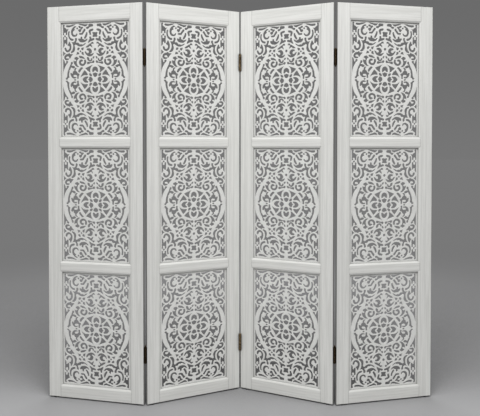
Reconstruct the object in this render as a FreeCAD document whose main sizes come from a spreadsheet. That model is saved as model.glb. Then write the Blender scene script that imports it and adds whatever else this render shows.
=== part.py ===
import FreeCAD, Part

import operator
import os
from types import SimpleNamespace

import Sketcher
from FreeCAD import Placement, Rotation, Vector

# Driving sizes: lengths in millimetres, angles in degrees
SIZES = {
    # Framed leaves
    "leaf_width": 475,
    "leaf_height": 1822,
    "leaf_thickness": 16.5,
    "stile_flat": 59,
    "top_rail_flat": 67,
    "mid_rail_flat": 35,
    "bottom_rail_flat": 50,
    "bevel_width": 8,
    "bevel_depth": 3.6,
    "groove_depth": 8,
    "edge_round": 1.5,
    # Fretwork plates in their grooves
    "fret_thickness": 3,
    "fret_recess": 8.6,
    "fret_side_border": 8.5,
    "fret_end_border": 6.5,
    "fret_dot_radius": 4.4,
    "fret_slack": 1.5,
    "groove_play": 0.15,
    # Nailed glides under the stiles
    "glide_height": 7,
    "glide_radius": 7,
    "glide_chamfer": 1,
    "nail_radius": 1.2,
    "nail_length": 16,
    # Butt hinges
    "hinge_height": 75,
    "hinge_top_drop": 244,
    "hinge_bottom_rise": 223,
    "plate_thickness": 2.5,
    "plate_width": 14.5,
    "plate_play": 0.2,
    "barrel_radius": 6,
    "barrel_proud": 5.4,
    "barrel_play": 0.4,
    "knuckle_gap": 0.3,
    "pin_radius": 3,
    "pin_play": 0.1,
    "tip_length": 5,
    "tip_taper": 3,
    "tip_radius": 4.8,
    "tip_end_radius": 3.2,
    "tip_round": 0.8,
    # Countersunk hinge screws
    "screw_length": 18,
    "screw_point": 3,
    "screw_head_radius": 3,
    "screw_shank_radius": 1.5,
    "screw_spacing": 25,
    "slot_width": 0.8,
    "slot_depth": 0.7,
    "hole_play": 0.1,
    # How the leaves stand: gap between two leaves laid flat, and their turn from the room's width
    "leaf_gap": 1,
    "outer_turn": 14.3,
    "inner_turn": 28.2,
}

KNUCKLES = 5
SCREW_STEPS = (-1, 0, 1)
COUNTERSINK_ANGLE = 90
FRET_NAMES = ("bottom", "middle", "top")
UPRIGHT_AXIS = Vector(0, 0, 1)
SAME_PLACE = 0.001

# The knuckle strap starts inside the barrel wall, at this share of the barrel's radius
strap_root_share = 0.6

# The fretwork is charted on squares, this many from the middle of a plate's pattern to its edges
CHART_COLUMNS = 162
CHART_ROWS = 258

# One quarter of the chart. A stretch is its first corner, and a point that its arc goes through;
# a straight stretch has the corner alone. It ends at the next corner, the last one at the first.
quarter_hole_shares = {
    "bud_leaf": (
        (11.6, 242.7, 8.7, 249.2), (14.9, 254.8), (27, 255.3, 32.6, 252.2), (32.9, 245.8, 34.8, 243.6),
        (39.8, 242.8, 45.3, 238.2), (37.6, 232.7, 33.4, 234.2), (29, 238.6, 20.7, 241.9)),
    "top_tail": (
        (35.7, 255.6, 46.1, 254.1), (55.7, 254.9, 69.8, 257.3), (84.9, 257.5, 70.4, 250.8),
        (57.7, 247.1, 52.3, 244.3), (46.1, 244.8, 40.1, 248)),
    "top_slot": (
        (96.1, 256.4, 110.2, 256.1), (122.2, 253.6, 131, 253.3), (140.3, 253.9, 146.3, 249.2),
        (140.5, 244.3, 130.9, 243.5), (121.6, 245.1, 107.5, 250.3)),
    "lily_hook": (
        (8.7, 224.9, 8.3, 231.4), (14.4, 232.5, 22.4, 231), (30, 226.9, 31.9, 221.6), (29.8, 213.4),
        (28.3, 208.9, 24.1, 204), (19.2, 209.2, 20, 214.3), (21.2, 218.7, 20.1, 221), (16, 221.4)),
    "lily_fork": (
        (2.8, 186, 7.8, 189.6), (13.8, 187.7, 17.5, 188.4), (18.7, 192.3, 23.7, 198.1),
        (28.8, 192.1, 27.9, 187.6), (29.1, 184.2, 32.9, 177.6), (36, 167.8, 26.8, 171.9),
        (20.5, 176, 12.6, 177.6), (6.7, 180, 3, 182.4)),
    "lily_slot": (
        (37.3, 213.9, 40.4, 218.5), (44.6, 213.5, 49.2, 203.6), (54.1, 194.7, 52.6, 188.1),
        (46.3, 190.8, 39.1, 201.5)),
    "scroll_hook": (
        (47.4, 226.3, 50, 233.8), (57.2, 230), (65.2, 218.6, 67.2, 216), (71.8, 215.5),
        (76, 215.3, 80.3, 211.1), (76, 207), (68.1, 207, 61.3, 208.5), (57.3, 213.9)),
    "flower_left": (
        (58.5, 237.7, 61.2, 242.7), (69.6, 242.4, 74.5, 247.8), (81.7, 247.6, 83.5, 242.7),
        (76.7, 239.2, 73.3, 236.3), (75.7, 232.4, 83.4, 230.7), (83.1, 223.8, 75.9, 219.3),
        (69.2, 224.7, 66.9, 230.8)),
    "flower_right": (
        (92.1, 243.1, 98.8, 247.8), (106.9, 244.5, 119.5, 230), (120.8, 214.9, 114.8, 202.6),
        (101.9, 198.9, 92.6, 202.2), (88.2, 210.3, 90.3, 213.6), (93.8, 211.4, 101, 206.9),
        (108.9, 211.7, 111.1, 218.9), (106.6, 226.5, 103.4, 229), (99.5, 231.3, 103.2, 235),
        (102.6, 238.6, 99.4, 240.9)),
    "scroll_crescent": (
        (127.2, 221.6, 130.5, 226.3), (134.9, 221.5, 136.9, 206.9), (131.1, 189.7, 122.6, 183),
        (113.2, 180.7, 107.3, 185.1), (111.9, 190.3, 123.6, 195.7), (128.7, 208.1, 128.9, 215.8)),
    "corner": (
        (153.7, 250.3, 157.9, 257.6), (162, 252.4), (162, 235), (162, 214.5, 159.6, 208.7),
        (156, 213.4, 152.1, 220), (148.2, 213.9, 144.2, 208.7), (140.3, 214.4, 139.3, 225),
        (131.2, 236.4, 137.3, 235), (141.8, 234.3, 146.8, 239.4), (152.3, 242, 154.1, 244.9)),
    "flower_below": (
        (139.5, 193.8, 143.2, 199.2), (147.6, 194.7, 151.7, 186.3), (155.6, 194.6, 159.7, 199.2),
        (162, 193.6), (161.5, 180), (161.5, 149.5, 156, 155), (153.2, 161.1, 153.7, 167.2),
        (151.5, 171.2), (148.1, 168.1, 143.6, 163.6), (139.5, 168.6)),
    "bell": (
        (36.5, 187.6, 44.1, 186.7), (47.8, 183.4, 51.7, 183.5), (57.3, 187), (61.6, 187.6, 62.9, 189),
        (63.1, 193, 68, 198.5), (73, 193, 73.4, 189.5), (76, 188.4, 82.8, 189.9),
        (84.4, 184.6, 77.2, 175.1), (66.1, 172.2, 49.4, 173.8)),
    "garland": (
        (43.8, 169.3, 52.6, 166.6), (58.7, 162.5, 63.8, 162.1), (69.9, 164.9, 74.9, 163.3),
        (78.4, 164.3, 81.1, 168.9), (88.4, 172.1, 94.3, 173.1), (94.4, 176.3, 91.5, 181.6),
        (90.3, 188, 95.6, 193.3), (101.1, 187.9, 103.1, 178.3), (107.9, 174.2, 113.3, 174.3),
        (119.8, 175.7, 111.3, 157.8), (113.2, 141.5, 116.5, 135.3), (121.8, 130.5, 122.7, 126),
        (116.9, 124.8, 105, 131.1), (100.2, 147.2), (102.7, 157.6, 100.3, 161.9),
        (96.1, 162.6, 89.7, 158.5), (82.5, 154.8, 72, 152.9), (61.5, 155.6, 51.8, 160.5)),
    "heart_leaf": (
        (8, 162, 12.3, 172.8), (19.8, 167.4, 21.7, 165.6), (26.4, 164.9, 30.7, 161.4),
        (35.6, 158.7, 40.8, 155), (47.4, 148.1, 37.8, 147.5), (30.4, 149.5, 28.3, 152.9),
        (25.7, 153.7, 21.2, 151.4), (14.2, 144.6, 14.3, 152.5), (17.9, 157.7, 17.2, 161.6)),
    "heart": (
        (39.6, 134.1, 42.8, 138.6), (37, 142.9, 24.4, 142.5), (16.3, 133, 15.8, 125),
        (21.9, 119.3, 22.3, 117.7), (19.3, 117.4), (5.9, 122.2, 15.4, 108.6),
        (27.1, 106.2, 42.8, 112.5), (53.1, 131.2, 46.1, 128.6), (41.4, 123.5, 34.2, 122.4),
        (31.8, 128.4, 33.8, 133)),
    "clover_upper_inner": (
        (54.3, 149.1), (66.4, 147.3, 69.7, 142), (65.4, 136, 59.2, 137), (57, 142, 56.3, 145)),
    "clover_upper_outer": (
        (76.7, 146.6, 83.2, 148.7), (89.2, 143.6, 89.4, 138.3), (83.5, 136.3, 79.5, 139.1)),
    "clover_lower_inner": (
        (57.5, 124.8, 63.1, 128.3), (68.3, 123.6, 67.6, 118.2), (61.3, 114.5),
        (54.1, 112.1, 56.3, 117.5)),
    "clover_lower_outer": (
        (78.5, 122.5, 83.4, 126.9), (91, 128.9, 92.2, 122.4), (95.2, 114.6, 89, 117.1), (80.1, 117.9)),
    "bead": ((2.9, 106.6, 8.7, 105.6), (12.5, 100.7, 11.5, 96.8), (8.1, 95.1, 4.7, 98.2)),
    "arch_slot": (
        (49.6, 95, 60.4, 106.1), (73.4, 109.7, 81.2, 108.1), (78.1, 101.6, 75, 99.8), (70.1, 98.9)),
    "scallop": (
        (13.2, 92.2, 17.1, 97.7), (20.6, 93.4, 24.5, 89.7), (28.4, 93.5, 30.3, 100.2),
        (40.9, 103.4, 37.9, 89.3), (31.6, 84.5, 20.6, 82.8)),
    "bone": (
        (3, 80.8, 6.6, 86.8), (13.1, 84.2, 15.7, 81.7), (21, 80.3), (29.2, 80.1, 36.5, 82.2),
        (39.8, 78.7, 40.6, 73), (37.1, 70, 30.6, 71.6), (24.6, 73.8), (14.4, 76.5, 6.9, 75.6)),
    "petal_gap_upper": (
        (10.3, 67.9), (49.4, 53, 44.5, 45.9), (36.8, 39.9, 30.2, 34.5), (22.6, 30.9, 23.2, 48.7)),
    "petal_gap_side": (
        (35, 22.4, 42.5, 33.8), (53.8, 44.3, 61.1, 33.7), (67.1, 24.2, 71.2, 17.1),
        (73.2, 9, 61.4, 18.4), (48.3, 21.1, 41.9, 20.3)),
    "diagonal_lens": ((15.2, 16.2, 19.5, 26.3), (29.5, 28.4, 29.1, 19.7)),
    "spiral": (
        (45.2, 87.2, 49.8, 92.6), (55.8, 87.2, 54.8, 81.2), (57.1, 76.3, 64.3, 72.7),
        (70.4, 77.1, 70.6, 81.4), (66.1, 83.4, 62.3, 84.5), (59.5, 87.5, 70.1, 93.5),
        (79.7, 86.1, 81.9, 75.7), (75.2, 66.9, 61.3, 63.3), (47.4, 72.8, 44.3, 79.8)),
    "ring_leaf": (
        (60.3, 52.7, 66.8, 57.6), (75, 53.2, 81.6, 46.8), (85.3, 39.3, 81.3, 33.4),
        (74.8, 37, 69, 44.6)),
    "side_palm": (
        (82.6, 9.2, 87, 3.5), (91.2, 9.1), (91.2, 17.8, 95.9, 22.2), (103, 22.6, 109.1, 19.3),
        (107.9, 15.2, 103.8, 13.7), (96.9, 14.2, 94.8, 10.7), (99, 7.8, 107.1, 6.7),
        (115, 9.2, 122.3, 17.1), (124.4, 25.7, 122.3, 32.7), (117.1, 30.9, 115.1, 29.1),
        (113.4, 31.3, 112.3, 37.5), (107.8, 41.2, 105.6, 42.9), (105.9, 46.3, 101.5, 54),
        (89.8, 54.4, 96.5, 49), (97.9, 43.7, 96.4, 41.2), (92.5, 39.3, 89.7, 34.9),
        (88.2, 30.8, 84.2, 29.8), (79.3, 27.6, 78.7, 23.4), (81.6, 18.9, 82.8, 13.9)),
    "side_vine": (
        (112.3, 77.9, 117.3, 84.4), (122.3, 78.5, 125.4, 69.4), (132.4, 56),
        (136.4, 45.4, 140.5, 32.2), (141.8, 18.1, 143.4, 13.5), (149.6, 7.5, 145.3, 2.2),
        (138.6, 4.3, 134.9, 9.7), (129.2, 11.7, 131.6, 25), (129.3, 37.7, 129.6, 41.8),
        (130.4, 43.7, 127.8, 45.8), (123, 53.3, 120.2, 57.2), (116.2, 56, 107.9, 53.2),
        (99.8, 59.8, 108.6, 65.3), (117.8, 67, 119, 69.2), (116.8, 71.3, 113.4, 74.1)),
    "rim_lower": (
        (135.1, 83.1, 141, 88.9), (147.1, 82.1, 150.3, 77.5), (152.7, 81, 155, 89.6), (162, 97.9),
        (162, 70), (162, 27.9, 155.6, 52.5), (145, 71.7)),
    "rim_wedge": ((147.7, 123.6, 155.1, 128.3), (161.7, 136), (161.8, 110.3, 156, 117.1)),
    "rim_scroll_lower": (
        (110.4, 117.9, 118.4, 120), (124.3, 119.4, 126.4, 121.8), (129.2, 127.5, 134.2, 122.7),
        (140.1, 121.1, 152.3, 114), (156.6, 103, 152.5, 94.5), (142.5, 92.1, 135.3, 93.5), (131, 99.1),
        (143.7, 100.6, 146, 104.4), (143, 108, 136, 108.8), (132.3, 105.7, 129.8, 100.6),
        (125.2, 99.2, 120.4, 107.8)),
    "rim_scroll_upper": (
        (125.7, 173.1, 129.2, 177.4), (132.5, 173, 134.8, 168.1), (139.1, 163.4, 137.3, 159.5),
        (132.3, 157.9, 129, 150.5), (133.3, 141.2, 138.9, 138.3), (143.5, 141.8, 145.1, 146.4),
        (146.8, 149.7, 151.3, 150.3), (154.2, 143.2, 148.1, 131.8), (137.9, 128.5, 124.8, 135.3),
        (119, 150, 120.5, 162.3)),
    "ring_moon": (
        (79.3, 98.6, 85.3, 101.5), (89, 104.8, 93, 106.7), (97.1, 104.9, 103.5, 102.4), (105, 96.1),
        (97.5, 92.2, 96.3, 89.7), (98, 87.4, 102.3, 86.7), (109.4, 90.9, 107.2, 75.4),
        (96.8, 63, 89.3, 58.9), (79.2, 60.4, 89.9, 70.1), (92.2, 80.5, 89.4, 89.8)),
}

# Right halves of the holes that straddle the chart's upright middle line, from line to line
upright_half_shares = {
    "lily_square": (
        (0, 216.3), (7.7, 216.9, 12.7, 215), (11.9, 209.6, 10.3, 205.9), (11.5, 201.3, 11.9, 196),
        (6.6, 194.7), (0, 195)),
    "heart_bead": ((0, 144.3, 5.9, 138), (0, 131.7)),
    "petal_upright": (
        (0, 59.1, 10.4, 54.4), (14.4, 42.3, 14.9, 36.5), (11.1, 32.8, 6.5, 35.2),
        (2.9, 39.7, 1.6, 40.4), (0, 40.5)),
    "seed_upright": ((0, 33.7, 5, 29.5), (9, 28.9, 12.4, 26.5), (11.3, 21.7, 7.1, 14), (0, 11.3)),
}

# Upper halves of the holes that straddle the chart's level middle line, from line to line
level_half_shares = {
    "seed_level": ((11.5, 0, 15, 7.7), (23.6, 12.6, 29, 11.3), (30.2, 7, 32, 3.8), (37.1, 0)),
    "petal_level": ((43.2, 0, 41.4, 3.8), (35.6, 7.9, 36.3, 13.7), (42, 13.9, 56.8, 10), (63.9, 0)),
    "side_bead": ((95.6, 0, 101, 4), (106.4, 0)),
}

# Middles of the flowers' round eyes in one quarter of the chart
eye_shares = ((89.3, 236.5), (151.8, 202.8), (73.3, 131))

doc = FreeCAD.newDocument("RoomDivider")
sheet = doc.addObject("Spreadsheet::Sheet", "Sizes")
for row, (name, number) in enumerate(SIZES.items(), start=1):
    sheet.set(f"A{row}", name)
    sheet.set(f"B{row}", str(number))
    sheet.setAlias(f"B{row}", name)
doc.recompute()


class Size:
    """A length that carries its value and the sheet expression that it follows."""

    OPERATIONS = {"+": operator.add, "-": operator.sub, "*": operator.mul, "/": operator.truediv}

    def __init__(self, value, text):
        self.value = value
        self.text = text

    @staticmethod
    def of(item):
        return item if isinstance(item, Size) else Size(item, str(item))

    @staticmethod
    def join(left, sign, right):
        left, right = Size.of(left), Size.of(right)
        value = Size.OPERATIONS[sign](left.value, right.value)
        return Size(value, f"({left.text} {sign} {right.text})")

    def __add__(self, other):
        return Size.join(self, "+", other)

    def __sub__(self, other):
        return Size.join(self, "-", other)

    def __mul__(self, other):
        return Size.join(self, "*", other)

    def __rmul__(self, other):
        return Size.join(other, "*", self)

    def __truediv__(self, other):
        return Size.join(self, "/", other)

    def __neg__(self):
        return Size.join(-1, "*", self)


S = SimpleNamespace(**{name: Size(float(sheet.get(name)), f"Sizes.{name}") for name in SIZES})

# Plan of a leaf: x from its left edge, y from the middle of its thickness, z from its lower end
front = -(S.leaf_thickness / 2)
back = S.leaf_thickness / 2
stile_width = S.stile_flat + S.bevel_width
groove_front = front + S.fret_recess - S.groove_play
groove_back = front + S.fret_recess + S.fret_thickness + S.groove_play
flat_half = S.leaf_width / 2 - S.stile_flat
open_half = flat_half - S.bevel_width
tenon_half = open_half + S.groove_depth

# Heights in a leaf
rails_flat = S.top_rail_flat + S.bottom_rail_flat + 2 * S.mid_rail_flat
opening_height = (S.leaf_height - rails_flat) / len(FRET_NAMES)
opening_pitch = opening_height + S.mid_rail_flat
clear_half = opening_height / 2 - S.bevel_width
hinge_heights = (S.hinge_bottom_rise, S.leaf_height - S.hinge_top_drop)

# Hinge: z along the pin from the hinge's middle, y from the pin into the leaf's thickness
hinge_half = S.hinge_height / 2
plate_face = S.leaf_gap / 2
plate_near = S.barrel_radius + S.barrel_play
plate_far = S.barrel_proud + S.plate_width
screw_line = (plate_near + plate_far) / 2
knuckle_pitch = S.hinge_height / KNUCKLES

nodes = []


def keep(item, label, place):
    """Label a finished sub-part, stand it in its place and list it among the nodes."""
    item.Label = label
    item.Placement = place
    nodes.append(item)


def new_sketch(body, role, name, offset=None):
    """A sketch on one of the body's own origin planes, lifted along its normal by the offset."""
    plane = next(item for item in body.Origin.OriginFeatures if item.Role == role)
    sketch = body.newObject("Sketcher::SketchObject", name)
    sketch.AttachmentSupport = [(plane, "")]
    sketch.MapMode = "FlatFace"
    if offset is not None:
        sketch.setExpression("AttachmentOffset.Base.z", offset.text)
    return sketch


def hold(sketch, length, kind, *target):
    """Constrain one measure of a sketch to a length that follows the sheet."""
    length = Size.of(length)
    index = sketch.addConstraint(Sketcher.Constraint(kind, *target, length.value))
    sketch.setExpression(f"Constraints[{index}]", length.text)


def draw_outline(sketch, points):
    """A closed outline of straight sides, each corner held by its two distances."""
    start, end = 1, 2
    first = sketch.GeometryCount
    corners = [Vector(Size.of(x).value, Size.of(y).value, 0) for x, y in points]
    for here, there in zip(corners, corners[1:] + corners[:1]):
        sketch.addGeometry(Part.LineSegment(here, there))
    for index, (x, y) in enumerate(points):
        line = first + index
        follower = first + (index + 1) % len(points)
        sketch.addConstraint(Sketcher.Constraint("Coincident", line, end, follower, start))
        hold(sketch, x, "DistanceX", line, start)
        hold(sketch, y, "DistanceY", line, start)


def draw_rectangle(sketch, x_pair, y_pair):
    """A rectangle between two x and two y distances."""
    (left, right), (low, high) = x_pair, y_pair
    draw_outline(sketch, ((left, low), (right, low), (right, high), (left, high)))


def draw_circle(sketch, x, y, radius):
    """A circle held by the two distances of its middle and its radius."""
    middle = 3
    centre = Vector(Size.of(x).value, Size.of(y).value, 0)
    circle = sketch.addGeometry(Part.Circle(centre, UPRIGHT_AXIS, radius.value))
    hold(sketch, radius, "Radius", circle)
    hold(sketch, x, "DistanceX", circle, middle)
    hold(sketch, y, "DistanceY", circle, middle)


def add_pad(body, sketch, name, length, symmetric=False):
    """Pad a sketch along its normal, or half to each side of its plane."""
    pad = body.newObject("PartDesign::Pad", name)
    pad.Profile = sketch
    pad.SideType = "Symmetric" if symmetric else "One side"
    pad.setExpression("Length", length.text)
    doc.recompute()
    return pad


def add_pocket(body, sketch, name, length, along_normal=False, symmetric=False):
    """Cut a sketch out of the body, and make sure that the cut took something away."""
    before = body.Shape.Volume
    pocket = body.newObject("PartDesign::Pocket", name)
    pocket.Profile = sketch
    pocket.SideType = "Symmetric" if symmetric else "One side"
    pocket.Reversed = along_normal
    pocket.setExpression("Length", length.text)
    doc.recompute()
    if body.Shape.Volume >= before:
        raise RuntimeError(f"{body.Name}: {name} cuts nothing")


def add_fillet(body, base, name, radius, wanted):
    """Round the edges of the base feature that the test asks for."""
    edges = [f"Edge{number}" for number, edge in enumerate(base.Shape.Edges, start=1) if wanted(edge)]
    fillet = body.newObject("PartDesign::Fillet", name)
    fillet.Base = (base, edges)
    fillet.setExpression("Radius", radius.text)
    doc.recompute()


def add_turning(body, points):
    """Turn a half outline, given as radius and height, once round the upright axis."""
    sketch = new_sketch(body, "XZ_Plane", "HalfOutline")
    draw_outline(sketch, points)
    turning = body.newObject("PartDesign::Revolution", "Turning")
    turning.Profile = sketch
    turning.ReferenceAxis = (sketch, ["V_Axis"])
    doc.recompute()
    return turning


def new_body(name):
    return doc.addObject("PartDesign::Body", name)


def is_outer_arris(edge):
    """Tell whether an edge runs upright along the outer side of a stile."""
    ends = [vertex.Point for vertex in edge.Vertexes]
    upright = abs(ends[0].z - ends[-1].z) > SAME_PLACE
    return upright and all(abs(point.x) < SAME_PLACE for point in ends)


def make_stile(label, place, inward, barrel_side):
    """A stile from its outer side inward, let in for two hinges if a barrel side is given."""
    body = new_body(label)
    plan = new_sketch(body, "XY_Plane", "Plan")
    groove_floor = stile_width - S.groove_depth
    draw_outline(plan, [(inward * x, y) for x, y in (
        (Size.of(0), front), (S.stile_flat, front), (stile_width, front + S.bevel_depth),
        (stile_width, groove_front), (groove_floor, groove_front), (groove_floor, groove_back),
        (stile_width, groove_back), (stile_width, back - S.bevel_depth), (S.stile_flat, back),
        (Size.of(0), back))])
    length = add_pad(body, plan, "Length", S.leaf_height)
    add_fillet(body, length, "Arrises", S.edge_round, is_outer_arris)

    nail = new_sketch(body, "XY_Plane", "NailHole")
    draw_circle(nail, inward * S.stile_flat / 2, 0, S.nail_radius + S.hole_play)
    add_pocket(body, nail, "NailPocket", S.nail_length + S.hole_play, along_normal=True)

    if barrel_side:
        face = barrel_side * back
        gain = new_sketch(body, "YZ_Plane", "Gains")
        pilot = new_sketch(body, "YZ_Plane", "PilotHoles")
        gain_floor = face - barrel_side * (S.plate_width + S.plate_play)
        gain_half = hinge_half + S.plate_play
        row = face - barrel_side * (screw_line - S.barrel_proud)
        for height in hinge_heights:
            draw_rectangle(gain, (face, gain_floor), (height - gain_half, height + gain_half))
            for step in SCREW_STEPS:
                draw_circle(pilot, row, height + step * S.screw_spacing, S.screw_shank_radius + S.hole_play)
        add_pocket(body, gain, "GainPocket", S.plate_thickness, along_normal=inward > 0)
        add_pocket(body, pilot, "PilotPocket", S.screw_length + S.hole_play, along_normal=inward > 0)
    keep(body, label, place)


def make_rail(label, place, height, bevels_low, bevels_high):
    """A rail with stub tenons, its ends coped over the stiles' bevels and its free edges ploughed."""
    body = new_body(label)
    plan = new_sketch(body, "XY_Plane", "Plan")
    right_end = [
        (flat_half, front), (open_half, front + S.bevel_depth), (open_half, groove_front),
        (tenon_half, groove_front), (tenon_half, groove_back), (open_half, groove_back),
        (open_half, back - S.bevel_depth), (flat_half, back)]
    draw_outline(plan, right_end + [(-x, y) for x, y in reversed(right_end)])
    add_pad(body, plan, "Height", height)

    section = new_sketch(body, "YZ_Plane", "Section")
    free_edges = ([(Size.of(0), 1)] if bevels_low else []) + ([(height, -1)] if bevels_high else [])
    for edge, inward in free_edges:
        shoulder = edge + inward * S.bevel_width
        draw_outline(section, ((front, edge), (front + S.bevel_depth, edge), (front, shoulder)))
        draw_outline(section, ((back, edge), (back - S.bevel_depth, edge), (back, shoulder)))
        draw_rectangle(section, (groove_front, groove_back), (edge, edge + inward * S.groove_depth))
    add_pocket(body, section, "Edges", S.leaf_width, symmetric=True)
    keep(body, label, place)


def mirrored_half(half, flip_x, flip_z):
    """Complete a hole from one half by running back along the other side of its middle line."""
    returning = []
    for (_, _, *through), (x, z, *_) in reversed(list(zip(half, half[1:]))):
        corner = (flip_x * x, flip_z * z)
        if through:
            corner += (flip_x * through[0], flip_z * through[1])
        returning.append(corner)
    return half[:-1] + tuple(returning)


def fret_plate():
    """The fretwork plate: one holed face in the leaf's plane, thickened to the rear."""
    half_width = (tenon_half - S.fret_slack).value
    half_height = (clear_half + S.groove_depth - S.fret_slack).value
    column = (open_half - S.fret_side_border).value / CHART_COLUMNS
    row = (clear_half - S.fret_end_border).value / CHART_ROWS

    def hole(stretches, side, end):
        points = [Vector(side * x * column, 0, end * z * row) for x, z, *_ in stretches]
        edges = []
        for here, there, (_, _, *through) in zip(points, points[1:] + points[:1], stretches):
            if through:
                middle = Vector(side * through[0] * column, 0, end * through[1] * row)
                edges.append(Part.Arc(here, middle, there).toShape())
            else:
                edges.append(Part.LineSegment(here, there).toShape())
        return Part.Wire(edges)

    def eye(x, z):
        centre = Vector(x * column, 0, z * row)
        return Part.Wire(Part.Circle(centre, Vector(0, -1, 0), S.fret_dot_radius.value).toShape())

    outline = ((-half_width, -half_height), (half_width, -half_height), (half_width, half_height),
               (-half_width, half_height), (-half_width, -half_height))
    wires = [Part.makePolygon([Vector(x, 0, z) for x, z in outline])]
    both = (1, -1)
    quarters = [(side, end) for side in both for end in both]
    for stretches in quarter_hole_shares.values():
        wires += [hole(stretches, side, end) for side, end in quarters]
    for half in upright_half_shares.values():
        wires += [hole(mirrored_half(half, -1, 1), 1, end) for end in both]
    for half in level_half_shares.values():
        wires += [hole(mirrored_half(half, 1, -1), side, 1) for side in both]
    wires += [eye(side * x, end * z) for x, z in eye_shares for side, end in quarters]
    face = Part.makeFace(wires, "Part::FaceMakerCheese")
    return face.extrude(Vector(0, S.fret_thickness.value, 0))


def make_plate(label, place, side, first_knuckle):
    """A hinge plate on one side of the pin, with every second knuckle from the given one up."""
    body = new_body(label)
    plan = new_sketch(body, "XY_Plane", "PlatePlan")
    thickness = (side * plate_face, side * (plate_face + S.plate_thickness))
    draw_rectangle(plan, thickness, (plate_near, plate_far))
    add_pad(body, plan, "Plate", S.hinge_height, symmetric=True)

    knuckle_floor = first_knuckle * knuckle_pitch + S.knuckle_gap / 2 - hinge_half
    knuckle_length = knuckle_pitch - S.knuckle_gap
    strap_plan = new_sketch(body, "XY_Plane", "StrapPlan", knuckle_floor)
    draw_rectangle(strap_plan, thickness, (strap_root_share * S.barrel_radius, plate_far))
    strap = add_pad(body, strap_plan, "Strap", knuckle_length)
    ring_plan = new_sketch(body, "XY_Plane", "RingPlan", knuckle_floor)
    draw_circle(ring_plan, 0, 0, S.barrel_radius)
    draw_circle(ring_plan, 0, 0, S.pin_radius + S.pin_play)
    ring = add_pad(body, ring_plan, "Ring", knuckle_length)

    count = len(range(first_knuckle, KNUCKLES, 2))
    pattern = body.newObject("PartDesign::LinearPattern", "Knuckles")
    pattern.Originals = [strap, ring]
    upright = next(item for item in body.Origin.OriginFeatures if item.Role == "Z_Axis")
    pattern.Direction = (upright, [""])
    pattern.setExpression("Length", (2 * (count - 1) * knuckle_pitch).text)
    pattern.Occurrences = count
    body.Tip = pattern
    doc.recompute()

    middles = new_sketch(body, "YZ_Plane", "ScrewMiddles", side * plate_face)
    for step in SCREW_STEPS:
        draw_circle(middles, screw_line, step * S.screw_spacing, S.screw_shank_radius)
    doc.recompute()
    before = body.Shape.Volume
    hole = body.newObject("PartDesign::Hole", "ScrewHoles")
    hole.Profile = middles
    doc.recompute()
    hole.ThreadType = "None"
    hole.DepthType = "ThroughAll"
    hole.Reversed = side > 0
    hole.setExpression("Diameter", (2 * (S.screw_shank_radius + S.hole_play)).text)
    hole.HoleCutType = "Countersink"
    hole.HoleCutCountersinkAngle = COUNTERSINK_ANGLE
    hole.setExpression("HoleCutDiameter", (2 * (S.screw_head_radius + S.hole_play)).text)
    doc.recompute()
    if body.Shape.Volume >= before:
        raise RuntimeError(f"{label}: the screw holes cut nothing")
    keep(body, label, place)


def pin_pattern():
    """One hinge pin with a tapered tip at each end."""
    body = new_body("PinPattern")
    end = hinge_half + S.tip_length
    upper = [
        (S.pin_radius, hinge_half), (S.tip_radius, hinge_half), (S.tip_radius, end - S.tip_taper),
        (S.tip_end_radius, end), (Size.of(0), end)]
    turning = add_turning(body, [(x, -z) for x, z in reversed(upper)] + upper)

    def is_tip_edge(edge):
        round_edge = hasattr(edge.Curve, "Radius") and edge.Curve.Radius > S.pin_radius.value + SAME_PLACE
        return round_edge and abs(edge.CenterOfMass.z) > hinge_half.value + SAME_PLACE

    add_fillet(body, turning, "TipRounds", S.tip_round, is_tip_edge)
    return body


def screw_pattern():
    """One slotted countersunk screw, its head's top at zero and its point below."""
    body = new_body("ScrewPattern")
    head_depth = S.screw_head_radius - S.screw_shank_radius
    add_turning(body, [
        (Size.of(0), Size.of(0)), (S.screw_head_radius, Size.of(0)), (S.screw_shank_radius, -head_depth),
        (S.screw_shank_radius, S.screw_point - S.screw_length), (Size.of(0), -S.screw_length)])
    slot = new_sketch(body, "XY_Plane", "Slot")
    half = S.slot_width / 2
    draw_rectangle(slot, (-S.screw_head_radius, S.screw_head_radius), (-half, half))
    add_pocket(body, slot, "SlotPocket", S.slot_depth)
    return body


def glide_pattern():
    """One glide, its disc below zero and its nail above."""
    body = new_body("GlidePattern")
    add_turning(body, [
        (Size.of(0), -S.glide_height), (S.glide_radius - S.glide_chamfer, -S.glide_height),
        (S.glide_radius, S.glide_chamfer - S.glide_height), (S.glide_radius, Size.of(0)),
        (S.nail_radius, Size.of(0)), (S.nail_radius, S.nail_length), (Size.of(0), S.nail_length)])
    return body


def make_group(label, place, pattern, spots):
    """A node of equal solids, one at each spot."""
    group = doc.addObject("Part::Feature", label)
    solids = []
    for spot in spots:
        solid = pattern.Shape.copy()
        solid.Placement = spot
        solids.append(solid)
    group.Shape = Part.makeCompound(solids)
    keep(group, label, place)


def shift(x=0, y=0, z=0):
    """A move by lengths that may be sizes or plain zeros."""
    return Placement(Vector(Size.of(x).value, Size.of(y).value, Size.of(z).value), Rotation())


def turn(angle):
    return Placement(Vector(), Rotation(UPRIGHT_AXIS, angle))


# Pin axes in a leaf's plan, at its left and right edges, on the rear (1) or the front (-1)
def pin_axis(edge, barrel_side):
    x = S.leaf_width + S.leaf_gap / 2 if edge == "right" else -(S.leaf_gap / 2)
    return shift(x, barrel_side * (back + S.barrel_proud))


# Folds from left to right: the leaf on either side and the face that carries the barrels
REAR, FRONT = 1, -1
FOLDS = {"left_fold": (1, 2, REAR), "centre_fold": (2, 3, FRONT), "right_fold": (3, 4, REAR)}


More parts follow.
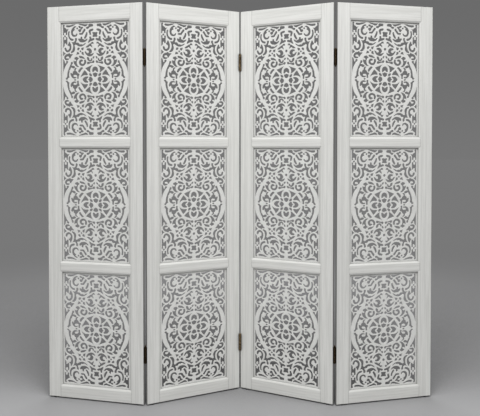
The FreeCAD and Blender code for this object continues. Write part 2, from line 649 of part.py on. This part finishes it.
def leaf_placements():
    """Stand the four leaves in a zigzag round their pins, centred on the origin in plan."""
    turns = {1: -S.outer_turn, 2: S.inner_turn, 3: -S.inner_turn, 4: S.outer_turn}
    spin = {leaf: turn(angle.value) for leaf, angle in turns.items()}
    places = {2: spin[2].multiply(pin_axis("right", FRONT).inverse())}
    places[3] = spin[3].multiply(pin_axis("left", FRONT).inverse())
    left_pin = places[2].multVec(pin_axis("left", REAR).Base)
    right_pin = places[3].multVec(pin_axis("right", REAR).Base)
    for leaf, pin, edge in ((1, left_pin, "right"), (4, right_pin, "left")):
        swung = Placement(pin, Rotation()).multiply(spin[leaf])
        places[leaf] = swung.multiply(pin_axis(edge, REAR).inverse())

    depths = []
    for place in places.values():
        for x in (S.edge_round, S.leaf_width - S.edge_round):
            for y in (front + S.edge_round, back - S.edge_round):
                depths.append(place.multVec(Vector(x.value, y.value, 0)).y)
    centre = Placement(Vector(0, -(min(depths) + max(depths)) / 2, S.glide_height.value), Rotation())
    return {leaf: centre.multiply(place) for leaf, place in places.items()}


def make_leaf(leaf, place, barrel_sides):
    """One framed leaf: two stiles, four rails, three fretwork plates and two glides."""
    name = f"leaf{leaf}"
    right_edge = place.multiply(shift(S.leaf_width))
    make_stile(f"{name}_left_stile", place, 1, barrel_sides.get("left"))
    make_stile(f"{name}_right_stile", right_edge, -1, barrel_sides.get("right"))

    middle = S.leaf_width / 2
    mid_height = S.mid_rail_flat + 2 * S.bevel_width
    top_height = S.top_rail_flat + S.bevel_width
    rails = [("bottom", Size.of(0), S.bottom_rail_flat + S.bevel_width, False, True)]
    for level, rail in enumerate(("lower_mid", "upper_mid"), start=1):
        floor = S.bottom_rail_flat + level * opening_pitch - S.mid_rail_flat - S.bevel_width
        rails.append((rail, floor, mid_height, True, True))
    rails.append(("top", S.leaf_height - top_height, top_height, True, False))
    for rail, floor, height, bevels_low, bevels_high in rails:
        rail_place = place.multiply(shift(middle, 0, floor))
        make_rail(f"{name}_{rail}_rail", rail_place, height, bevels_low, bevels_high)

    for level, fret in enumerate(FRET_NAMES):
        label = f"{name}_{fret}_fret"
        plate = doc.addObject("Part::Feature", label)
        plate.Shape = FRET_SHAPE
        height = S.bottom_rail_flat + level * opening_pitch + opening_height / 2
        keep(plate, label, place.multiply(shift(middle, front + S.fret_recess, height)))

    foot = S.stile_flat / 2
    make_group(f"{name}_glides", place, GLIDE, (shift(foot), shift(S.leaf_width - foot)))


def make_fold(fold, left_leaf, right_leaf, barrel_side):
    """The two hinges of a fold: plates, pins and the spots of their screws in each leaf."""
    half_turn = turn(180 if barrel_side == REAR else 0)
    left_hinge = pin_axis("right", barrel_side).multiply(half_turn)
    right_hinge = pin_axis("left", barrel_side).multiply(half_turn)
    odd, even = (left_leaf, left_hinge), (right_leaf, right_hinge)
    if barrel_side == REAR:
        odd, even = even, odd
    for height, level in zip(hinge_heights, ("lower", "upper")):
        for (leaf, hinge), side, first_knuckle in ((odd, -1, 0), (even, 1, 1)):
            spot = shift(z=height).multiply(hinge)
            label = f"{fold}_{level}_plate_leaf{leaf}"
            make_plate(label, LEAVES[leaf].multiply(spot), side, first_knuckle)
            into_stile = Rotation(Vector(0, 1, 0), -side * 90)
            for step in SCREW_STEPS:
                head = shift(side * plate_face, screw_line, step * S.screw_spacing)
                head.Rotation = into_stile
                screw_spots[leaf].append(spot.multiply(head))
    pin_leaf, pin_hinge = odd
    pin_spots = [shift(z=height).multiply(pin_hinge) for height in hinge_heights]
    make_group(f"{fold}_pins", LEAVES[pin_leaf], PIN, pin_spots)


FRET_SHAPE = fret_plate()
PIN = pin_pattern()
SCREW = screw_pattern()
GLIDE = glide_pattern()
LEAVES = leaf_placements()
screw_spots = {leaf: [] for leaf in LEAVES}

for leaf, place in sorted(LEAVES.items()):
    barrel_sides = {}
    for left_leaf, right_leaf, barrel_side in FOLDS.values():
        if leaf == left_leaf:
            barrel_sides["right"] = barrel_side
        if leaf == right_leaf:
            barrel_sides["left"] = barrel_side
    make_leaf(leaf, place, barrel_sides)
for fold, (left_leaf, right_leaf, barrel_side) in FOLDS.items():
    make_fold(fold, left_leaf, right_leaf, barrel_side)
for leaf, spots in screw_spots.items():
    make_group(f"leaf{leaf}_hinge_screws", LEAVES[leaf], SCREW, spots)
doc.recompute()

for item in doc.Objects:
    if {"Invalid", "Error"} & set(item.State):
        raise RuntimeError(f"{item.Label} did not compute")
sound = []
for node in nodes:
    shape = node.Shape
    if any(shape.isPartner(other) for other in sound):
        continue
    if shape.isNull() or not shape.isValid() or not shape.Solids:
        raise RuntimeError(f"{node.Label} has no valid solid")
    sound.append(shape)

os.makedirs("parts", exist_ok=True)
for node in nodes:
    node.Shape.exportStep(f"parts/{node.Label}.step")

whole = Part.makeCompound([node.Shape for node in nodes]).BoundBox
print(f"{len(nodes)} nodes, {whole.XLength:.1f} x {whole.YLength:.1f} x {whole.ZLength:.1f} mm")
print(f"middle {whole.Center.x:.3f}, {whole.Center.y:.3f}, lowest {whole.ZMin:.3f}")
for fold, (left_leaf, right_leaf, barrel_side) in FOLDS.items():
    axis = LEAVES[left_leaf].multVec(pin_axis("right", barrel_side).Base)
    print(f"{fold} pin at {axis.x:.3f}, {axis.y:.3f}")
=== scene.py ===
import math

import bpy
from mathutils import Matrix, Vector


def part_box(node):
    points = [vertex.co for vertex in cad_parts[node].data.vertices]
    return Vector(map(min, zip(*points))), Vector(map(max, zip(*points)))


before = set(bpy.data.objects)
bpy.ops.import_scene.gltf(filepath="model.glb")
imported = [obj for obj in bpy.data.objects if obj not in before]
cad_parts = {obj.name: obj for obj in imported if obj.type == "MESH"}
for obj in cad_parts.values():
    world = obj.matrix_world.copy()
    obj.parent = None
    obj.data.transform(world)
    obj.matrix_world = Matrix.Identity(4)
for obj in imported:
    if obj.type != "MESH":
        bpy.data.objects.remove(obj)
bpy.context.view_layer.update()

# Lengths are in metres, angles in degrees, and colours are linear.
# A span gives the values that a tone goes from and to, and where four are given, also the results.

# Turn of each leaf from the room's width, as it stands
LEAF_TURN = {1: -14.3, 2: 28.2, 3: -28.2, 4: 14.3}
# Edges of each leaf that meet another leaf: left (-1) and right (1)
MEETING_EDGES = {1: (1,), 2: (-1, 1), 3: (-1, 1), 4: (-1,)}
# Kinds of wooden pieces, by the last word of their names
PAINTED_KINDS = ("stile", "rail")
# Half a leaf's width, and half the length of a rail's flat face
LEAF_HALF = 0.2375
RAIL_HALF = 0.1785

# Camera: above the middle of the object, with a slight tilt and shift down; lens and sensor in millimetres
CAMERA_AT = (0.0, -3.208, 1.18)
CAMERA_TILT = 1.31
CAMERA_LENS = 51.33
CAMERA_SENSOR = 36
CAMERA_SHIFT = -0.095

# Lamps: wide soft panels above, one in front and a weaker one behind; power in watts
KEY_LAMP = {"at": (0, -2.85, 4.8), "aim": (0, 0, 0.9), "width": 2.6, "depth": 1.6, "power": 190}
REAR_LAMP = {"at": (0, 3.2, 4.2), "aim": (0, 0, 0.9), "width": 3.6, "depth": 2.0, "power": 75}

# World: light from below to above, and the backdrop's grading, by the height of the direction
WHITE = (1, 1, 1, 1)
WORLD_LIGHT_SPAN = (-0.1, 1.0, 0.15, 0.60)
BACKDROP_SPAN = (-0.10, 0.22)
BACKDROP_HIGH = (0.147, 0.147, 0.147, 1)
BACKDROP_LOW = (0.190, 0.190, 0.190, 1)

# Floor: colours by depth, paler in front and greyer behind as painted light and shade, then the backdrop by
# distance
FLOOR_HALF = 60
FLOOR_NEAR_LIT = (0.362, 0.362, 0.367, 1)
FLOOR_BEHIND_SHADED = (0.268, 0.268, 0.271, 1)
FLOOR_FAR = (0.262, 0.262, 0.265, 1)
FLOOR_SHADE = (0.062, 0.062, 0.062, 1)
FLOOR_BEHIND_SPAN = (-0.3, 0.5)
FLOOR_FAR_SPAN = (0.4, 2.6)
FLOOR_BACKDROP_SPAN = (1.6, 6.0)
FLOOR_MOTTLE = 3
FLOOR_ROUGHNESS_SPAN = (0.3, 0.7, 0.68, 0.74)
FLOOR_SHEEN = 0.1
# Shade on the floor: direction of the light in front, how far off things shade it, and how strongly
SHADE_FROM = {"X": 0.0, "Y": -0.97, "Z": 0.24}
SHADE_REACH = 3.0
SHADE_STRENGTH = 2.1

# Edges and corners: samples, the edge mask's span, and how open the tightest corner is
EDGE_SAMPLES = 6
EDGE_SPAN = (0.995, 0.86)
OPEN_SAMPLES = 8
TIGHT_CORNER = 0.45

# Paint on wood: colours
PAINT_PALE = (0.845, 0.845, 0.815, 1)
PAINT_GREY = (0.725, 0.725, 0.695, 1)
PAINT_WORN = (0.58, 0.57, 0.53, 1)
# Tone of the painted shade in corners, recesses, bevels and meeting edges
PAINTED_SHADE_TONE = (0.22, 0.218, 0.21, 1)
JOINT_LINE = (0.34, 0.335, 0.32, 1)
# Painted shade on the edges that meet another leaf, in the gap between leaves
MEETING_EDGE_SHADE = (0.28, 0.278, 0.27, 1)
# Paint on wood: grain as noise per metre across and along it, streaks, pores, wear and painted shade in
# corners
COARSE_GRAIN = (95, 2.2)
FINE_GRAIN = (420, 9)
PORE_GRAIN = (1500, 34)
CLOUD_SCALE = 7
STREAK_COARSE, STREAK_FINE = 0.62, 0.38
STREAK_SPAN = (0.38, 0.62)
PORE_SPAN = (0.36, 0.27)
PORE_STRENGTH = 0.35
PAINT_EDGE = 0.0010
PAINT_WEAR_SPAN = (0.40, 0.62, 0.02, 0.20)
# Painted shade in corners and recesses: how far it reaches, where it starts, and how strong on stiles and
# rails
PAINTED_SHADE_REACH, PAINTED_SHADE_START = 0.012, 0.90
PAINTED_SHADE_STRENGTH = {"stile": 0.75, "rail": 0.25}
# Paint on wood: strips of other tones, by their distances in from the rail's end or the leaf's edge; the
# rails' joint lines are dark paint, while the stiles' bevels and meeting edges carry painted shade
JOINT_INSET, JOINT_STRENGTH = (0.0030, 0.0010), 0.42
SHADED_BEVEL_INSET, SHADED_BEVEL_STRENGTH = (0.0575, 0.0605), 0.10
MEETING_SHADE_INSET = (0.0012, 0.0004)
# Paint on wood: relief and gloss
RELIEF_FINE, RELIEF_COARSE, RELIEF_PORES = 0.7, 0.6, 0.5
PAINT_BUMP = {"Strength": 0.45, "Distance": 0.0006}
PAINT_ROUGHNESS_SPAN = (0.3, 0.7, 0.56, 0.42)
PAINT_SHEEN = 0.4

# Paint on the fretwork
FRET_PALE = (0.85, 0.85, 0.825, 1)
FRET_GREY = (0.79, 0.79, 0.765, 1)
FRET_MOTTLE, FRET_SPRAY = 38, 900
FRET_MOTTLE_SPAN = (0.32, 0.68)
FRET_EDGE = 0.0014
FRET_WEAR_SPAN = (0.42, 0.64, 0.15, 0.50)
# Painted shade on the fretwork near the frame and in the piercings: reach, start and strength
FRET_SHADE_REACH, FRET_SHADE_START, FRET_SHADE_STRENGTH = 0.030, 0.97, 0.75
FRET_BUMP = {"Strength": 0.25, "Distance": 0.0002}
FRET_ROUGHNESS_SPAN = (0.3, 0.7, 0.56, 0.46)

# Bronze of hinges and screws
BRONZE_DARK = (0.042, 0.026, 0.013, 1)
BRONZE_LIGHT = (0.31, 0.224, 0.124, 1)
BRONZE_WORN = (0.46, 0.35, 0.22, 1)
HINGE_PATINA, SCREW_PATINA = 120, 420
BRONZE_GRAIN = (2600, 2600, 260)
PATINA_SPAN = (0.34, 0.68)
BRONZE_EDGE = 0.0006
BRONZE_WEAR_SPAN = (0.38, 0.60, 0.25, 0.85)
TARNISH_REACH, TARNISH_START = 0.020, 0.75
BRONZE_BUMP = {"Strength": 0.3, "Distance": 0.0001}
BRONZE_ROUGHNESS_SPAN = (0.3, 0.7, 0.52, 0.34)
BRONZE_METAL = 0.85

# Plastic of the glides
GLIDE_DARK = (0.012, 0.012, 0.012, 1)
GLIDE_DUST = (0.035, 0.034, 0.032, 1)
DUST_SCALE = 160
DUST_SPAN = (0.45, 0.75)
GLIDE_EDGE = 0.0005
GLIDE_WEAR = 0.5
GLIDE_BUMP = {"Strength": 0.2, "Distance": 0.0001}
GLIDE_ROUGHNESS_SPAN = (0.3, 0.7, 0.5, 0.7)


class Graph:
    """A node tree with short ways to add the nodes that the materials use."""

    # Places of a mix node's colour sockets
    MIX_FACTOR, MIX_FIRST, MIX_SECOND, MIX_RESULT = 0, 6, 7, 2

    def __init__(self, tree):
        self.tree = tree
        tree.nodes.clear()

    def add(self, kind, inputs=None, **settings):
        node = self.tree.nodes.new(f"ShaderNode{kind}")
        for name, value in settings.items():
            setattr(node, name, value)
        for name, value in (inputs or {}).items():
            self.put(node.inputs[name], value)
        return node

    def put(self, socket, value):
        if isinstance(value, bpy.types.NodeSocket):
            self.tree.links.new(value, socket)
        else:
            socket.default_value = value

    def put_all(self, node, *values):
        for socket, value in zip(node.inputs, values):
            self.put(socket, value)

    def maths(self, operation, first, second=0.0, clamp=False):
        node = self.add("Math", operation=operation, use_clamp=clamp)
        self.put_all(node, first, second)
        return node.outputs[0]

    def times(self, first, second):
        return self.maths("MULTIPLY", first, second)

    def plus(self, first, second):
        return self.maths("ADD", first, second)

    def vector_maths(self, operation, *vectors):
        node = self.add("VectorMath", operation=operation)
        self.put_all(node, *vectors)
        return node.outputs["Value"]

    def spread(self, value, low, high, to_low=0.0, to_high=1.0):
        inputs = {"Value": value, "From Min": low, "From Max": high, "To Min": to_low, "To Max": to_high}
        return self.add("MapRange", inputs, interpolation_type="SMOOTHSTEP").outputs["Result"]

    def blend(self, factor, first, second):
        node = self.add("Mix", data_type="RGBA")
        self.put(node.inputs[self.MIX_FACTOR], factor)
        self.put(node.inputs[self.MIX_FIRST], first)
        self.put(node.inputs[self.MIX_SECOND], second)
        return node.outputs[self.MIX_RESULT]

    def mixed(self, factor, first, second):
        node = self.add("MixShader")
        self.put_all(node, factor, first, second)
        return node.outputs[0]

    def noise(self, vector, scale=1.0, detail=2.0, roughness=0.5, distortion=0.0):
        inputs = {"Vector": vector, "Scale": scale, "Detail": detail, "Roughness": roughness,
                  "Distortion": distortion}
        return self.add("TexNoise", inputs).outputs[0]

    def place(self):
        return self.add("TexCoord").outputs["Object"]

    def axis(self, vector, name):
        return self.add("SeparateXYZ", {"Vector": vector}).outputs[name]

    def mapped(self, vector, scale=(1, 1, 1), turn=0.0, at=(0, 0, 0)):
        inputs = {"Vector": vector, "Scale": scale, "Rotation": (0, 0, turn), "Location": at}
        return self.add("Mapping", inputs).outputs[0]

    def bevelled(self, radius):
        """The softened normal of the edges, and how far it departs from the face: an edge mask."""
        soft = self.add("Bevel", {"Radius": radius}, samples=EDGE_SAMPLES).outputs[0]
        flat = self.add("NewGeometry").outputs["True Normal"]
        return soft, self.spread(self.vector_maths("DOT_PRODUCT", soft, flat), *EDGE_SPAN)

    def openness(self, inputs):
        """The share of the directions around the normal that are open within a distance."""
        return self.add("AmbientOcclusion", inputs, samples=OPEN_SAMPLES).outputs["AO"]

    def closeness(self, reach, start):
        """How far a point is closed in by surfaces within reach: 0 in the open, 1 in a tight corner."""
        return self.spread(self.openness({"Distance": reach}), start, TIGHT_CORNER)

    def show(self, output, shader):
        self.put(self.add(output).inputs["Surface"], shader)


def new_material(name):
    material = bpy.data.materials.new(name)
    material.use_nodes = True
    graph = Graph(material.node_tree)
    return material, graph, graph.add("BsdfPrincipled")


def finish_surface(graph, shader, colour, roughness, relief, bump, normal):
    """Give a shader its colour and roughness, and a relief over the softened normal."""
    graph.put(shader.inputs["Base Color"], colour)
    graph.put(shader.inputs["Roughness"], roughness)
    relief_normal = graph.add("Bump", {**bump, "Height": relief, "Normal": normal}).outputs[0]
    graph.put(shader.inputs["Normal"], relief_normal)
    graph.show("OutputMaterial", shader.outputs[0])


def leaf_origin(leaf):
    """The middle of a leaf in plan, from the ends of its top rail."""
    low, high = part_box(f"leaf{leaf}_top_rail")
    return (Vector(low) + Vector(high)) / 2


def paint_material(leaf, kind):
    """White paint over open grain that runs along a stile or a rail of one leaf."""
    material, graph, shader = new_material(f"leaf{leaf}_{kind}_paint")
    turn = math.radians(-LEAF_TURN[leaf])
    origin = leaf_origin(leaf)
    at = -(Matrix.Rotation(turn, 3, "Z") @ Vector((origin.x, origin.y, 0)))
    place = graph.mapped(graph.place(), turn=turn, at=at)

    def stretched(across, along):
        scale = (across, across, along) if kind == "stile" else (along, across, across)
        return graph.mapped(place, scale)

    def strip(distance, half, inset):
        start, full = inset
        return graph.spread(distance, half - start, half - full)

    coarse = graph.noise(stretched(*COARSE_GRAIN), detail=3, roughness=0.55, distortion=0.6)
    fine = graph.noise(stretched(*FINE_GRAIN), detail=3, roughness=0.6, distortion=0.3)
    pores = graph.spread(graph.noise(stretched(*PORE_GRAIN), roughness=0.6), *PORE_SPAN)
    cloud = graph.noise(place, CLOUD_SCALE)

    streak = graph.plus(graph.times(coarse, STREAK_COARSE), graph.times(fine, STREAK_FINE))
    colour = graph.blend(graph.spread(streak, *STREAK_SPAN), PAINT_GREY, PAINT_PALE)
    colour = graph.blend(graph.times(pores, PORE_STRENGTH), colour, PAINT_WORN)

    soft, edge = graph.bevelled(PAINT_EDGE)
    worn = graph.times(edge, graph.spread(cloud, *PAINT_WEAR_SPAN))
    colour = graph.blend(worn, colour, PAINT_WORN)
    # Painted shade, darker where surfaces close in around corners and recesses
    painted_shade = graph.times(graph.closeness(PAINTED_SHADE_REACH, PAINTED_SHADE_START), PAINTED_SHADE_STRENGTH[kind])
    colour = graph.blend(painted_shade, colour, PAINTED_SHADE_TONE)

    across = graph.axis(place, "X")
    from_middle = graph.maths("ABSOLUTE", across)
    if kind == "rail":
        joint = strip(from_middle, RAIL_HALF, JOINT_INSET)
        colour = graph.blend(graph.times(joint, JOINT_STRENGTH), colour, JOINT_LINE)
    else:
        # Painted shade on the stile's bevel beside the fretwork
        bevel = strip(from_middle, LEAF_HALF, SHADED_BEVEL_INSET)
        colour = graph.blend(graph.times(bevel, SHADED_BEVEL_STRENGTH), colour, PAINTED_SHADE_TONE)
        # Painted shade on the edges that meet another leaf, where the gap between leaves is dark
        for side in MEETING_EDGES[leaf]:
            meeting_shade = strip(graph.times(across, side), LEAF_HALF, MEETING_SHADE_INSET)
            colour = graph.blend(meeting_shade, colour, MEETING_EDGE_SHADE)

    relief = graph.plus(graph.times(fine, RELIEF_FINE), graph.times(coarse, RELIEF_COARSE))
    relief = graph.maths("SUBTRACT", relief, graph.times(pores, RELIEF_PORES))
    roughness = graph.spread(streak, *PAINT_ROUGHNESS_SPAN)
    shader.inputs["Specular IOR Level"].default_value = PAINT_SHEEN
    finish_surface(graph, shader, colour, roughness, relief, PAINT_BUMP, soft)
    return material


def fret_material():
    """Sprayed white paint on board: faint mottling, softened edges, a little wear at them, and painted shade
    in corners near the frame and in the piercings.
    """
    material, graph, shader = new_material("fretwork_paint")
    place = graph.place()
    mottle = graph.noise(place, FRET_MOTTLE, detail=3, roughness=0.55)
    spray = graph.noise(place, FRET_SPRAY, roughness=0.6)
    colour = graph.blend(graph.spread(mottle, *FRET_MOTTLE_SPAN), FRET_GREY, FRET_PALE)
    soft, edge = graph.bevelled(FRET_EDGE)
    worn = graph.times(edge, graph.spread(mottle, *FRET_WEAR_SPAN))
    colour = graph.blend(worn, colour, PAINT_WORN)
    # Painted shade where the frame and the piercings' walls close in
    painted_shade = graph.times(graph.closeness(FRET_SHADE_REACH, FRET_SHADE_START), FRET_SHADE_STRENGTH)
    colour = graph.blend(painted_shade, colour, PAINTED_SHADE_TONE)
    roughness = graph.spread(mottle, *FRET_ROUGHNESS_SPAN)
    shader.inputs["Specular IOR Level"].default_value = PAINT_SHEEN
    finish_surface(graph, shader, colour, roughness, spray, FRET_BUMP, soft)
    return material


def bronze_material(name, patina_scale):
    """Antique bronze: dark patina in patches and corners, rubbed bright along the edges."""
    material, graph, shader = new_material(name)
    place = graph.place()
    patina = graph.noise(place, patina_scale, detail=4, roughness=0.6, distortion=0.4)
    grain = graph.noise(graph.mapped(place, BRONZE_GRAIN))
    soft, edge = graph.bevelled(BRONZE_EDGE)
    colour = graph.blend(graph.spread(patina, *PATINA_SPAN), BRONZE_DARK, BRONZE_LIGHT)
    rubbed = graph.times(edge, graph.spread(patina, *BRONZE_WEAR_SPAN))
    colour = graph.blend(rubbed, colour, BRONZE_WORN)
    colour = graph.blend(graph.closeness(TARNISH_REACH, TARNISH_START), colour, BRONZE_DARK)
    roughness = graph.spread(patina, *BRONZE_ROUGHNESS_SPAN)
    shader.inputs["Metallic"].default_value = BRONZE_METAL
    finish_surface(graph, shader, colour, roughness, grain, BRONZE_BUMP, soft)
    return material


def glide_material():
    """Dull black plastic with a little dust, more of it along the edges."""
    material, graph, shader = new_material("glide_plastic")
    dust = graph.noise(graph.place(), DUST_SCALE, detail=3, roughness=0.6)
    soft, edge = graph.bevelled(GLIDE_EDGE)
    colour = graph.blend(graph.spread(dust, *DUST_SPAN), GLIDE_DARK, GLIDE_DUST)
    colour = graph.blend(graph.times(edge, GLIDE_WEAR), colour, GLIDE_DUST)
    roughness = graph.spread(dust, *GLIDE_ROUGHNESS_SPAN)
    finish_surface(graph, shader, colour, roughness, dust, GLIDE_BUMP, soft)
    return material


def floor_material():
    """Floor painted pale in front and greyer behind as light and shade, shaded by the object, and lost in the
    backdrop far off.
    """
    material, graph, shader = new_material("floor_sweep")
    place = graph.place()
    depth = graph.axis(place, "Y")
    mottle = graph.noise(place, FLOOR_MOTTLE)
    # Painted light and shade: the floor paler in front and greyer behind
    colour = graph.blend(graph.spread(depth, *FLOOR_BEHIND_SPAN), FLOOR_NEAR_LIT, FLOOR_BEHIND_SHADED)
    colour = graph.blend(graph.spread(depth, *FLOOR_FAR_SPAN), colour, FLOOR_FAR)

    front = graph.add("CombineXYZ", SHADE_FROM).outputs[0]
    closed = graph.maths("SUBTRACT", 1.0, graph.openness({"Distance": SHADE_REACH, "Normal": front}))
    shade = graph.maths("MULTIPLY", closed, SHADE_STRENGTH, clamp=True)
    graph.put(shader.inputs["Base Color"], graph.blend(shade, colour, FLOOR_SHADE))
    graph.put(shader.inputs["Roughness"], graph.spread(mottle, *FLOOR_ROUGHNESS_SPAN))
    shader.inputs["Specular IOR Level"].default_value = FLOOR_SHEEN

    backdrop = graph.add("Emission", {"Color": BACKDROP_LOW}).outputs[0]
    far = graph.spread(graph.vector_maths("LENGTH", place), *FLOOR_BACKDROP_SPAN)
    graph.show("OutputMaterial", graph.mixed(far, shader.outputs[0], backdrop))
    return material


def dress(piece, material):
    piece.data.materials.clear()
    piece.data.materials.append(material)


def dress_object():
    """Give each piece its material, by the last word of its name; plates and pins are bronze."""
    paint = {(leaf, kind): paint_material(leaf, kind) for kind in PAINTED_KINDS for leaf in LEAF_TURN}
    bronze = bronze_material("hinge_bronze", HINGE_PATINA)
    others = {"fret": fret_material(), "screws": bronze_material("screw_bronze", SCREW_PATINA),
              "glides": glide_material()}
    for name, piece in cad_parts.items():
        kind = name.split("_")[-1]
        if kind in PAINTED_KINDS:
            leaf = int(name[len("leaf")])
            dress(piece, paint[leaf, kind])
        else:
            dress(piece, others.get(kind, bronze))


def make_floor():
    mesh = bpy.data.meshes.new("floor")
    corners = [(-1, -1), (1, -1), (1, 1), (-1, 1)]
    points = [(x * FLOOR_HALF, y * FLOOR_HALF, 0) for x, y in corners]
    mesh.from_pydata(points, [], [range(len(points))])
    floor = bpy.data.objects.new("floor", mesh)
    bpy.context.scene.collection.objects.link(floor)
    dress(floor, floor_material())


def make_world():
    """Soft light that grows towards the top, and a graded grey backdrop where the camera or a gloss looks."""
    world = bpy.data.worlds.new("studio")
    world.use_nodes = True
    bpy.context.scene.world = world
    graph = Graph(world.node_tree)
    height = graph.axis(graph.add("TexCoord").outputs["Generated"], "Z")
    strength = graph.spread(height, *WORLD_LIGHT_SPAN)
    light = graph.add("Background", {"Color": WHITE, "Strength": strength}).outputs[0]
    tone = graph.blend(graph.spread(height, *BACKDROP_SPAN), BACKDROP_LOW, BACKDROP_HIGH)
    backdrop = graph.add("Background", {"Color": tone, "Strength": 1.0}).outputs[0]
    path = graph.add("LightPath").outputs
    seen = graph.maths("ADD", path["Is Camera Ray"], path["Is Glossy Ray"], clamp=True)
    seen = graph.maths("ADD", seen, path["Is Transmission Ray"], clamp=True)
    graph.show("OutputWorld", graph.mixed(seen, light, backdrop))


def make_lamp(name, at, aim, width, depth, power):
    data = bpy.data.lights.new(name, "AREA")
    data.shape = "RECTANGLE"
    data.size, data.size_y, data.energy = width, depth, power
    lamp = bpy.data.objects.new(name, data)
    lamp.location = at
    lamp.rotation_euler = (Vector(aim) - Vector(at)).to_track_quat("-Z", "Y").to_euler()
    bpy.context.scene.collection.objects.link(lamp)


def make_camera():
    data = bpy.data.cameras.new("camera")
    data.sensor_fit = "HORIZONTAL"
    data.sensor_width = CAMERA_SENSOR
    data.lens = CAMERA_LENS
    data.shift_y = CAMERA_SHIFT
    camera = bpy.data.objects.new("camera", data)
    camera.location = CAMERA_AT
    camera.rotation_euler = (math.radians(90 - CAMERA_TILT), 0, 0)
    bpy.context.scene.collection.objects.link(camera)
    bpy.context.scene.camera = camera


dress_object()
make_floor()
make_world()
make_lamp("key", **KEY_LAMP)
make_lamp("rear", **REAR_LAMP)
make_camera()
bpy.context.scene.view_settings.view_transform = "Standard"
